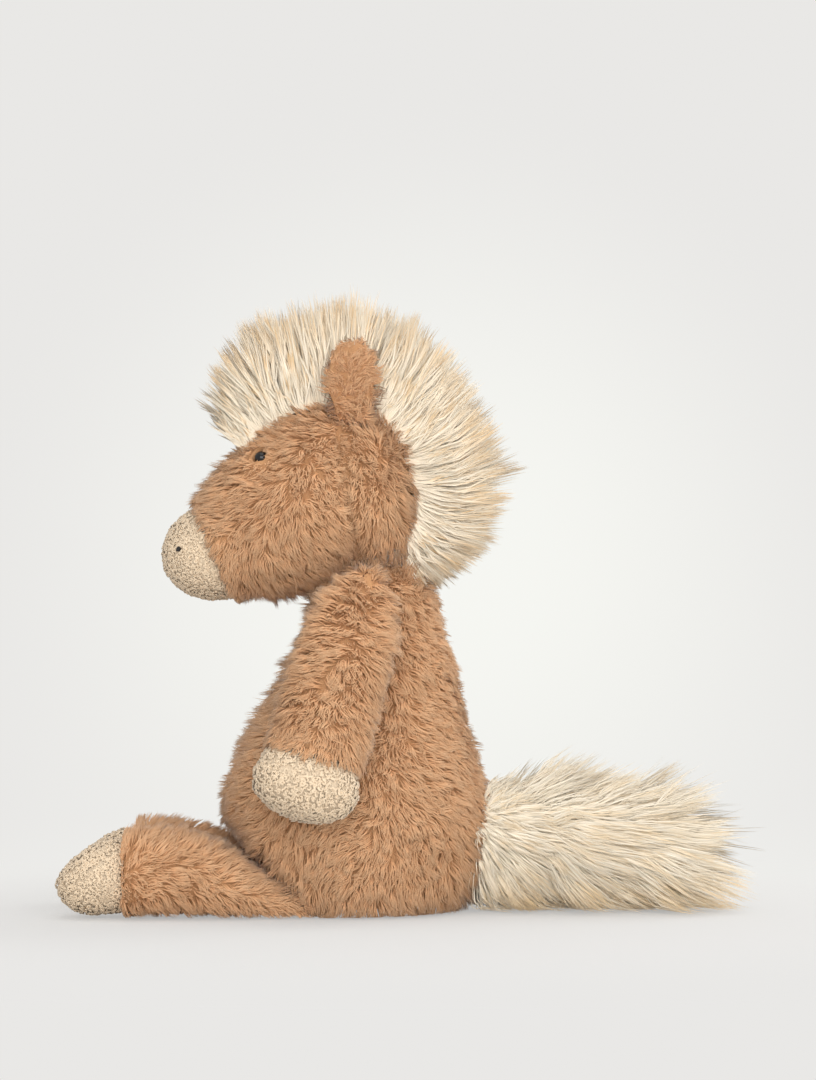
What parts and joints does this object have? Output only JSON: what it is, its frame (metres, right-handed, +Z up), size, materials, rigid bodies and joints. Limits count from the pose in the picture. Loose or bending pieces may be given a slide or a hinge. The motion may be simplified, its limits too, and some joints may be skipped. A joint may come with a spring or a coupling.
{
  "type": "plush horse",
  "caption": "Sitting plush horse in long caramel pile with cream boucle muzzle and hooves and a shaggy cream mane and tail; head, ears, arms, legs and tail move at their seams.",
  "frame": {"origin": "centre of the object's box at the floor it sits on", "axes": "the horse faces -X with its muzzle and legs, its tail runs to +X, its left side is -Y, +Z is up"},
  "size_m": [0.375, 0.2104, 0.3352],
  "materials": {
    "caramel_fur": "long soft pile, matt with a faint sheen",
    "cream_boucle": "nubby curled pile, matt",
    "cream_long_pile": "very long pile with golden tips",
    "backing_cloth": "woven backing",
    "polyester_fibre": "loose fibre, hidden",
    "pellet_pouch": "woven cloth round pellets, hidden",
    "eye_bead": "glossy black",
    "eye_washer": "moulded, hidden",
    "black_thread": "satin stitch"
  },
  "bodies": {
    "torso": {"torso_skin": "caramel_fur", "torso_stuffing": "polyester_fibre", "bean_pouch": "pellet_pouch"},
    "neck": {"neck_wad": "polyester_fibre"},
    "head": {"head_skin": "caramel_fur", "muzzle_skin": "cream_boucle", "head_stuffing": "polyester_fibre", "mane_backing": "backing_cloth", "mane_pile": "cream_long_pile", "left_eye": "eye_bead", "left_eye_washer": "eye_washer", "left_nostril": "black_thread", "right_eye": "eye_bead", "right_eye_washer": "eye_washer", "right_nostril": "black_thread"},
    "left_ear": {"left_ear_outer": "caramel_fur", "left_ear_inner": "caramel_fur"},
    "right_ear": {"right_ear_outer": "caramel_fur", "right_ear_inner": "caramel_fur"},
    "left_arm": {"left_arm_skin": "caramel_fur", "left_arm_stuffing": "polyester_fibre", "left_arm_hoof": "cream_boucle"},
    "right_arm": {"right_arm_skin": "caramel_fur", "right_arm_stuffing": "polyester_fibre", "right_arm_hoof": "cream_boucle"},
    "left_leg": {"left_leg_skin": "caramel_fur", "left_leg_stuffing": "polyester_fibre", "left_leg_hoof": "cream_boucle"},
    "right_leg": {"right_leg_skin": "caramel_fur", "right_leg_stuffing": "polyester_fibre", "right_leg_hoof": "cream_boucle"},
    "tail": {"tail_backing": "backing_cloth", "tail_pile": "cream_long_pile"}
  },
  "joints": [
    {"name": "neck_nod", "type": "hinge", "parent": "torso", "child": "neck", "pos_m": [-0.014, 0, 0.16], "axis": [0, 1, 0], "range_deg": [-22, 15], "stiffness_Nm_per_rad": 1.2, "springref_deg": 1.15},
    {"name": "head_turn", "type": "hinge", "parent": "neck", "child": "head", "pos_m": [-0.014, 0, 0.16], "axis": [0, 0, 1], "range_deg": [-25, 25], "stiffness_Nm_per_rad": 0.5},
    {"name": "left_ear_fold", "type": "hinge", "parent": "head", "child": "left_ear", "pos_m": [-0.02753, -0.0227, 0.26885], "axis": [1, 0, 0], "range_deg": [-6, 50], "stiffness_Nm_per_rad": 0.01},
    {"name": "right_ear_fold", "type": "hinge", "parent": "head", "child": "right_ear", "pos_m": [-0.02753, 0.0227, 0.26885], "axis": [-1, 0, 0], "range_deg": [-6, 50], "stiffness_Nm_per_rad": 0.01},
    {"name": "left_shoulder_swing", "type": "hinge", "parent": "torso", "child": "left_arm", "pos_m": [-0.02, -0.028, 0.177], "axis": [0, 1, 0], "range_deg": [-60, 50], "stiffness_Nm_per_rad": 0.06, "springref_deg": 4.01},
    {"name": "right_shoulder_swing", "type": "hinge", "parent": "torso", "child": "right_arm", "pos_m": [-0.02, 0.028, 0.177], "axis": [0, 1, 0], "range_deg": [-60, 50], "stiffness_Nm_per_rad": 0.06, "springref_deg": 4.01},
    {"name": "left_hip_swing", "type": "hinge", "parent": "torso", "child": "left_leg", "pos_m": [-0.056, -0.035, 0.0047], "axis": [0, 1, 0], "range_deg": [-90, 6], "stiffness_Nm_per_rad": 0.08, "springref_deg": 5.73},
    {"name": "right_hip_swing", "type": "hinge", "parent": "torso", "child": "right_leg", "pos_m": [-0.056, 0.035, 0.0047], "axis": [0, 1, 0], "range_deg": [-90, 6], "stiffness_Nm_per_rad": 0.08, "springref_deg": 5.73},
    {"name": "tail_lift", "type": "hinge", "parent": "torso", "child": "tail", "pos_m": [0.0536, 0, 0.045], "axis": [0, -1, 0], "range_deg": [-30, 40], "stiffness_Nm_per_rad": 0.05}
  ]
}
